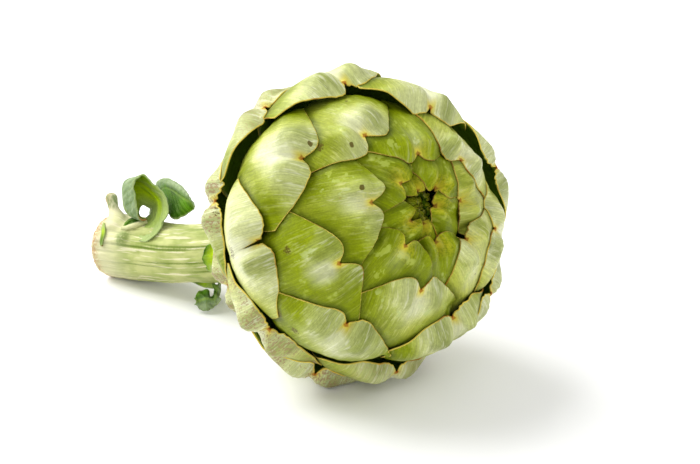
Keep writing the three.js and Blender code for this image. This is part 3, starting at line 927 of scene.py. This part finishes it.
# fine lengthwise lines, soft patches and grain of plant skin, from a place in mm
def buildPlantSkin():
    global nodeTree
    nodeTree = group = bpy.data.node_groups.new("plantSkin", "ShaderNodeTree")
    face = group.interface
    face.new_socket("Place", in_out="INPUT", socket_type="NodeSocketVector")
    for name, value in (("Line Width", 0.5), ("Line Length", 14), ("Patch Size", 12)):
        face.new_socket(name, in_out="INPUT", socket_type="NodeSocketFloat").default_value = value
    for name in ("Lines", "Fine Lines", "Patches", "Grain"):
        face.new_socket(name, in_out="OUTPUT", socket_type="NodeSocketFloat")
    start = group.nodes.new("NodeGroupInput")
    end = group.nodes.new("NodeGroupOutput")
    place = start.outputs["Place"]

    def layer(width, length, detail, output):
        size = addNode("CombineXYZ", {"X": width, "Y": length, "Z": 0.13}).outputs[0]
        spot = vectorCalc("DIVIDE", place, size)
        wave = addNode("TexNoise", {"Vector": spot, "Scale": 1, "Detail": detail, "Roughness": 0.55})
        feed(wave.outputs["Fac"], end.inputs[output])

    width, length, patch = (start.outputs[k] for k in ("Line Width", "Line Length", "Patch Size"))
    layer(calc("MULTIPLY", width, 3.2), calc("MULTIPLY", length, 2), 2, "Lines")
    layer(width, length, 2, "Fine Lines")
    layer(patch, calc("MULTIPLY", patch, 1.5), 3, "Patches")
    layer(calc("MULTIPLY", width, 1.8), calc("MULTIPLY", width, 2.6), 4, "Grain")
    return group


plantSkin = buildPlantSkin()


def skinNodes(place, width, length, patch):
    inputs = {"Place": place, "Line Width": width, "Line Length": length, "Patch Size": patch}
    return addNode("Group", inputs, node_tree=plantSkin).outputs  # lines, fine lines, patches, grain


# feeds the shader what varies over the skin, and sets what is the same all over it
def finishSkin(shader, look, base, rough, height):
    bump = addNode("Bump", {"Strength": look["bump"], "Distance": look["bumpDepth"] * mm, "Height": height})
    feed(base, shader.inputs["Base Color"])
    feed(rough, shader.inputs["Roughness"])
    feed(bump.outputs[0], shader.inputs["Normal"])
    feed(look["specular"], shader.inputs["Specular IOR Level"])
    feed(look["sheenOfSkin"], shader.inputs["Specular Tint"])


bractLook = {
    "pale": (224, 224, 202),
    "skin": (189, 194, 138),
    "green": (130, 144, 12),
    "olive": (104, 118, 6),
    "freshTint": (252, 255, 128),
    # darker green with painted shade, laid next to covering margins
    "shadeAndDeepGreen": (116, 126, 20),
    # pale wax bloom, also standing in as a painted sheen
    "wax": (176, 188, 138),
    # the inner face's dark green, painted brighter as light shining through
    "inside": (104, 142, 22),
    "rim": (206, 186, 84),
    "brown": (146, 82, 24),
    "youngRim": (104, 62, 30),
    "yellow": (204, 188, 58),
    "scar": (140, 112, 86),
    "bruise": (72, 52, 16),
    "fineLines": [0.32, 13, 13],  # width, length and patch size
    "flecks": [0.3, 3.2, 4.2],
    # strength of the painted highlight behind the notch
    "lobeHighlight": 0.52,
    "lobeOlive": 0.62,
    "waxiness": 0.7,
    "freshness": 0.95,
    "speckSize": 17,
    "scars": 0.85,
    "specks": 0.8,
    "bruising": 0.85,
    "rimWidths": [0.02, 0.16],
    "oldRim": 2.4,  # how much wider on the oldest bracts
    "roughness": 0.42,
    "bump": 0.45,
    "bumpDepth": 0.25,
    "specular": 0.3,
    "sheenOfSkin": (226, 232, 110),
}

# brown marks: bract, across and ahead of its notch, radius, how solid
bruises = [
    (10, -5.2, -3, 1.5, 1), (13, 8, 0.4, 1.2, 0.9), (18, -5, 3, 1.6, 0.75), (13, -9.5, -17, 1.8, 0.6),
    (15, -12.6, -15, 3.6, 0.52), (20, -20, -15.5, 3.6, 0.58), (20, -11.7, -15, 3.4, 0.56),
    (13, 14.6, -9.6, 3, 0.58), (9, -6.6, -14, 0.8, 0.9), (23, -0.8, -14.6, 5, 0.52), (31, 4, 4, 4, 0.54),
]


def bruiseMask(place, grain):
    apart = 50  # keeps a mark to its own bract
    spot = vectorCalc("MULTIPLY", place, (1, 1, apart))
    mask = 0
    for n, x, y, radius, solid in bruises:
        away = vectorCalc("DISTANCE", spot, (x, y, apart * n), "Value")
        mask = calc("MAXIMUM", mask, times(band(away, radius, radius * 0.3), solid))
    return band(calc("MULTIPLY_ADD", grain, 1.2, calc("SUBTRACT", mask, 0.6)), 0.45, 0.6)


def bractMaterial():
    material, shader = makeMaterial("bractSkin")
    look = lookOf(bractLook)
    place, across, ahead = placeOf()
    across = calc("ABSOLUTE", across)
    edge, rank, inside, cover, paler = readAttributes("edge", "rank", "inside", "cover", "paleMore")
    lines, fine, patches, grain = skinNodes(place, *look["fineLines"])

    # pale towards the outside of the head and along the middle of a bract, green where it lies covered
    age = calc("ADD", band(rank, 0.02, 0.62, (-0.15, 1)), paler)
    paleness = calc("ADD", age, calc("MULTIPLY_ADD", patches, 1.7, -0.85))
    paleness = calc("SUBTRACT", paleness, band(across, 6, 24, (-0.1, 0.2)))
    paleness = calc("SUBTRACT", paleness, times(band(cover, 15, 2), 0.6), clamp=True)
    paleness = times(paleness, band(rank, 0.02, 0.28, (0.4, 1)))
    base = blendColour(paleness, look["green"], look["skin"])
    streaks = times(band(lines, 0.42, 0.75), band(paleness, 0.1, 0.9, (0.03, 0.12)))
    base = paint(base, look, pale=streaks)
    # painted highlight: pale laid behind the notch on the paler bracts, where the lobes swell
    lobeHighlight = times(band(paleness, 0.45, 1), band(ahead, -4, -14), band(rank, 0.1, 0.38, (0, look["lobeHighlight"])))
    base = paint(base, look, pale=lobeHighlight)

    # olive blotches on the lobes
    lobe = times(band(calc("ABSOLUTE", calc("SUBTRACT", across, 8)), 7, 1.5), band(ahead, -12, -3.5))
    lobe = times(lobe, band(patches, 0.4, 0.58), look["lobeOlive"])
    base = paint(base, look, olive=lobe)
    base = shade(base, band(fine, 0.25, 0.75, (0.78, 1.14)))
    base = shade(base, band(grain, 0.3, 0.7, (0.86, 1.08)))

    # short flecks and mottling, then thin wax on the younger bracts, its pale colour partly a painted sheen
    dashes, _, blobs, _ = skinNodes(place, *look["flecks"])
    base = shade(base, band(blobs, 0.3, 0.7, (0.9, 1.07)))
    flecks = times(band(dashes, 0.54, 0.68), band(paleness, 0, 0.6, (0.14, 0.34)))
    wax = times(band(blobs, 0.59, 0.64), band(rank, 0.42, 0.3), band(rank, -0.05, 0), band(ahead, -1, -4))
    base = paint(base, look, pale=flecks, wax=times(wax, look["waxiness"]))

    # fresher, then deep green and painted shade next to the margins that cover a bract
    fresh = times(band(cover, 17, 2), band(patches, 0.3, 0.6, (0.6, 1)), look["freshness"])
    base = blendColour(fresh, base, look["freshTint"], "MULTIPLY")
    under = calc("ADD", times(band(cover, 3, 0.2), 0.62), times(band(cover, 10, 1), 0.4))
    under = times(under, band(patches, 0.3, 0.6, (0.7, 1)), band(rank, 0.04, 0.25, (0.6, 1)))
    base = blendColour(under, base, look["shadeAndDeepGreen"], "MULTIPLY")

    # yellow fold at the notch, with a painted highlight along the ridge behind it
    youth = band(rank, 0.4, 0.1)
    fold = times(band(across, 2.8, 0.4), band(ahead, -4.4, -0.4), 0.85)
    halo = times(band(across, 6, 0.8), band(ahead, -8, -1), band(grain, 0.35, 0.6), youth, 0.55)
    ridgeHighlight = times(band(across, 5, 1), band(ahead, -15, -6), band(ahead, -0.5, -4))
    ridgeHighlight = times(ridgeHighlight, band(rank, 0.12, 0.35), 0.4)
    base = paint(base, look, yellow=calc("MAXIMUM", fold, halo), pale=ridgeHighlight)

    # scars and specks, most on the oldest bracts
    scar = band(calc("ADD", grain, times(patches, 0.6)), 0.8, 0.89)
    scar = times(scar, band(rank, 0.5, 0.66), band(ahead, -26, -4), look["scars"])
    cell = vectorCalc("DIVIDE", place, (look["speckSize"], look["speckSize"], 0.31))
    spot = addNode("TexVoronoi", {"Vector": cell, "Scale": 1}).outputs
    pick = addNode("SeparateColor", {0: spot["Color"]}).outputs[0]
    speck = times(band(spot["Distance"], 0.075, 0.04), calc("GREATER_THAN", pick, 0.72), look["specks"])
    bruise = times(bruiseMask(place, grain), look["bruising"])
    base = paint(base, look, scar=scar, brown=speck, bruise=bruise)

    # dry rim, browner at the notch and here and there
    atNotch = band(calc("ADD", across, calc("ABSOLUTE", ahead)), 1.7, 0.8)
    brownness = calc("MAXIMUM", times(band(patches, 0.54, 0.68), 0.9), atNotch)
    rim = blendColour(brownness, look["rim"], look["brown"])
    rim = paint(rim, look, youngRim=times(band(rank, 0.36, 0.16), band(patches, 0.62, 0.45), 0.8))
    rimWidth = band(grain, 0.4, 0.7, look["rimWidths"])
    rimWidth = times(rimWidth, band(rank, 0.5, 0.8, (1, look["oldRim"])))
    rimMask = calc("MAXIMUM", calc("LESS_THAN", edge, rimWidth), times(atNotch, 0.8))
    base = blendColour(rimMask, base, rim)
    # the inner face, its green painted brighter as light shining through the bract
    base = paint(base, look, inside=times(inside, band(edge, 0.3, 1.4)))

    rough = calc("MULTIPLY_ADD", patches, 0.25, look["roughness"] - 0.12)
    rough = calc("SUBTRACT", rough, times(wax, 0.22))
    height = calc("ADD", times(fine, 0.6), calc("ADD", times(lines, 0.7), times(grain, 0.5)))
    finishSkin(shader, look, base, rough, height)
    return material


stemLook = {
    "cream": (218, 212, 178),
    "skin": (184, 188, 124),
    "groove": (84, 110, 26),
    "shaded": (146, 158, 86),
    "tan": (168, 118, 74),
    "pith": (208, 200, 160),
    "budGreen": (84, 112, 40),
    "fuzz": (160, 172, 132),
    "sheenOfSkin": (222, 224, 150),
    "fineLines": [0.4, 9, 9],
    "dashes": 0.75,
    "grooves": 0.8,
    "roughness": 0.55,
    "bump": 0.5,
    "bumpDepth": 0.3,
    "specular": 0.25,
}


def stemMaterial():
    material, shader = makeMaterial("stemSkin")
    look = lookOf(stemLook)
    place = placeOf()[0]
    groove, stub, fromCut = readAttributes("groove", "stub", "fromCut")
    lines, fine, patches, grain = skinNodes(place, *look["fineLines"])

    # cream dashes, green grooves, and cream towards the cut
    base = blendColour(band(patches, 0.35, 0.65), look["skin"], look["shaded"])
    dashes = times(band(lines, 0.55, 0.63), look["dashes"])
    base = paint(base, look, cream=dashes, groove=times(band(groove, 0.3, 0.85), look["grooves"]))
    creamy = calc("MAXIMUM", times(band(fromCut, 24, 6), 0.6), times(stub, 0.85))
    base = shade(paint(base, look, cream=creamy), band(fine, 0.3, 0.7, (0.92, 1.04)))

    # the green knob and bud, then the cut's brown rim and pale face
    cut, ring, knob, bud = readAttributes("cut", "ring", "knob", "bud")
    green = times(knob, band(grain, 0.25, 0.5), 0.8)
    green = calc("MAXIMUM", green, times(bud, band(grain, 0.6, 0.4), 0.85))
    rim = times(band(fromCut, 6, 1.5), band(grain, 0.35, 0.6), 0.8)
    base = paint(base, look, budGreen=green, fuzz=times(bud, 0.35), tan=rim)
    face = blendColour(band(ring, 0.45, 0.8), look["pith"], look["shaded"])
    face = paint(face, look, tan=times(band(ring, 0.82, 0.97), 0.8))
    face = shade(face, band(grain, 0.3, 0.7, (0.86, 1.04)))
    base = blendColour(cut, base, face)
    rough = calc("MULTIPLY_ADD", patches, 0.2, look["roughness"] - 0.1)
    height = calc("ADD", times(fine, 0.7), calc("ADD", lines, times(grain, 0.6)))
    finishSkin(shader, look, base, rough, height)
    return material


leafLook = {
    "green": (32, 74, 1),
    "bright": (72, 120, 2),
    "yellow": (170, 200, 12),
    "vein": (128, 152, 66),
    "under": (150, 166, 130),
    "underDark": (92, 118, 76),
    "margin": (150, 166, 108),
    "tip": (116, 68, 26),
    "sheenOfSkin": (208, 226, 110),
    "fineLines": [0.4, 3, 6],
    "netScale": 0.8,
    "upperVeins": 0.32,
    "lowerVeins": 0.6,
    "specular": 0.3,
    "bump": 0.5,
    "bumpDepth": 0.25,
    "roughness": 0.5,
}


def leafMaterial():
    material, shader = makeMaterial("leafSkin")
    look = lookOf(leafLook)
    place, toSide, ahead = placeOf()
    across = calc("ABSOLUTE", toSide)
    edge, inside, reach, youth, fold = readAttributes("edge", "inside", "reach", "youth", "fold")
    _, _, patches, grain = skinNodes(place, *look["fineLines"])

    # side veins that leave the middle one at a slant, and a fine net between them
    slant = calc("MULTIPLY_ADD", across, -veinSlant, ahead)
    slant = calc("ADD", slant, times(calc("SUBTRACT", patches, 0.5), 2.2))
    wave = calc("ABSOLUTE", calc("SINE", times(slant, veinPitch)))
    sideVein = band(wave, 0.22, 0.05)
    vein = calc("MAXIMUM", band(across, 0.75, 0.3), times(sideVein, 0.7))
    net = addNode("TexVoronoi", {"Vector": place, "Scale": look["netScale"]}, feature="DISTANCE_TO_EDGE")
    vein = calc("MAXIMUM", vein, times(band(net.outputs["Distance"], 0.09, 0.02), 0.35))

    # young leaves are yellow at the foot and pale along the rolled side
    upper = blendColour(band(patches, 0.35, 0.65), look["green"], look["bright"])
    foot = times(youth, band(reach, 0.4, 0.2), 0.7)
    upper = paint(upper, look, yellow=times(youth, band(reach, 0.8, 0.35)), margin=foot)
    rolled = times(youth, band(toSide, 1, 5), band(reach, 0.62, 0.5), 0.8)
    upper = paint(upper, look, margin=rolled, vein=times(vein, look["upperVeins"]))
    lower = blendColour(band(patches, 0.3, 0.7), look["under"], look["underDark"])
    lower = paint(lower, look, vein=times(vein, look["lowerVeins"]))
    base = blendColour(times(inside, calc("SUBTRACT", 1, fold)), lower, upper)
    base = shade(base, band(grain, 0.3, 0.7, (0.9, 1.06)))
    tip = times(youth, band(reach, 0.93, 0.98), 0.85)
    base = paint(base, look, margin=times(band(edge, 0.8, 0.2), 0.6), tip=tip)
    rough = calc("MULTIPLY_ADD", patches, 0.2, look["roughness"] - 0.1)
    finishSkin(shader, look, base, rough, calc("SUBTRACT", grain, times(vein, 0.8)))
    return material


# camera, lights and floor
view = {
    "turn": 54.05,  # degrees round the object to the camera
    "rise": 23,
    "distance": 598,
    "aim": (-4.9, -2.6),  # right and up of the head's centre
    "lens": 85,
}


def buildCamera():
    turn, rise = radians(view["turn"]), radians(view["rise"])
    toward = Vector((sin(turn) * cos(rise), -cos(turn) * cos(rise), sin(rise)))
    right = Vector((cos(turn), sin(turn), 0))
    up = toward.cross(right)
    data = bpy.data.cameras.new("camera")
    data.lens = view["lens"]
    data.sensor_width = 36
    camera = bpy.data.objects.new("camera", data)
    place = Vector(headParams["centre"]) + toward * view["distance"]
    place += right * view["aim"][0] + up * view["aim"][1]
    matrix = Matrix((right, up, toward)).transposed().to_4x4()
    matrix.translation = place * mm
    camera.matrix_world = matrix
    bpy.context.scene.collection.objects.link(camera)
    bpy.context.scene.camera = camera


studio = {
    "floor": (0.9, 0.9, 0.9, 1),
    "floorSize": 12,  # metres, as all lengths here
    "floorRoughness": 0.6,
    "aim": (0.03, 0, 0.05),
    "world": 0.53,
    "key": {"place": (-1.05, -0.52, 1.28), "size": 1.5, "power": 49},
    "fill": {"place": (1.3, -1.2, 1), "size": 1.3, "power": 11},
    "side": {"place": (1, 1.2, 1.3), "size": 1.3, "power": 15},
}


def areaLight(name, place, size, power):
    data = bpy.data.lights.new(name, "AREA")
    data.energy = power
    data.size = size
    light = bpy.data.objects.new(name, data)
    light.location = place
    aim = Vector(studio["aim"]) - Vector(place)
    light.rotation_euler = aim.to_track_quat("-Z", "Y").to_euler()
    bpy.context.scene.collection.objects.link(light)


def buildStudio():
    bpy.context.scene.view_settings.view_transform = "Standard"
    bpy.ops.mesh.primitive_plane_add(size=studio["floorSize"])
    floor = bpy.context.object
    floor.name = "floor"
    material, shader = makeMaterial("paleFloor")
    shader.inputs["Base Color"].default_value = studio["floor"]
    shader.inputs["Roughness"].default_value = studio["floorRoughness"]
    floor.data.materials.append(material)
    world = bpy.data.worlds.new("studio")
    world.use_nodes = True
    background = world.node_tree.nodes["Background"]
    background.inputs["Color"].default_value = (1, 1, 1, 1)
    background.inputs["Strength"].default_value = studio["world"]
    bpy.context.scene.world = world
    for name in ("key", "fill", "side"):
        areaLight(name, **studio[name])


buildCamera()
buildStudio()
print("camera and studio done")
bractSkin = bractMaterial()
buildHead(bractSkin)
buildEye(bractSkin)
print("head done")
skins = {"stem": stemMaterial(), "leaves": leafMaterial()}
buildStem(skins["stem"])
print("stem done")
for number, name in enumerate(leafParams):
    buildLeaf(name, number + 1, skins[leafParams[name].get("slot", "leaves")])
print("leaves done")
